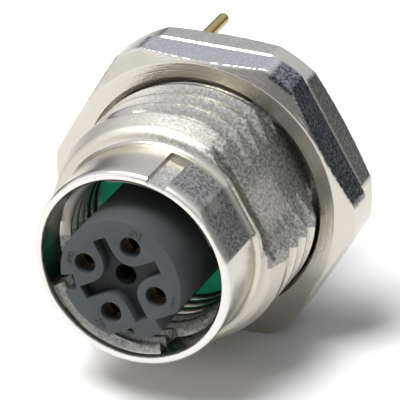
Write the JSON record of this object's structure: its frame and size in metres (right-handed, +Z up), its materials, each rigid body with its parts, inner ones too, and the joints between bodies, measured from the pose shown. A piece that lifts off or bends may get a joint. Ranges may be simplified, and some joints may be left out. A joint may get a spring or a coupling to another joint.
{
  "type": "panel-mount circular connector",
  "caption": "Rear-mounted round panel connector: plated threaded housing with hexagonal flange and nut, coded socket insert inside a quick-lock mouth, straight solder pins behind.",
  "frame": {"origin": "centre of the flange's front face, where the panel seats, on the connector's axis", "axes": "-Y along the connector's axis towards the plug, +Z up across a flat of the hexagon, +X to the right as seen from the front"},
  "size_m": [0.0208, 0.0251, 0.019],
  "materials": {
    "nickel": "bright nickel plating over turned brass",
    "black_plastic": "fine satin moulding",
    "green_rubber": "smooth, slightly glossy",
    "black_rubber": "matt",
    "spring_steel": "satin",
    "gold": "gold plating over brass"
  },
  "bodies": {
    "connector": {"housing": "nickel", "panel_seal": "black_rubber", "contact_carrier": "black_plastic", "carrier_ring": "black_plastic", "face_seal": "green_rubber", "bore_seal": "black_rubber", "rear_carrier": "black_plastic", "retaining_ring": "spring_steel", "shield_pin": "gold", "contact_1": "gold", "contact_2": "gold", "contact_3": "gold", "contact_4": "gold"},
    "nut": {"panel_nut": "nickel"}
  },
  "joints": [
    {"name": "nut_travel", "type": "slide", "parent": "connector", "child": "nut", "axis": [0, -1, 0], "range_m": [0, 0.017]}
  ]
}
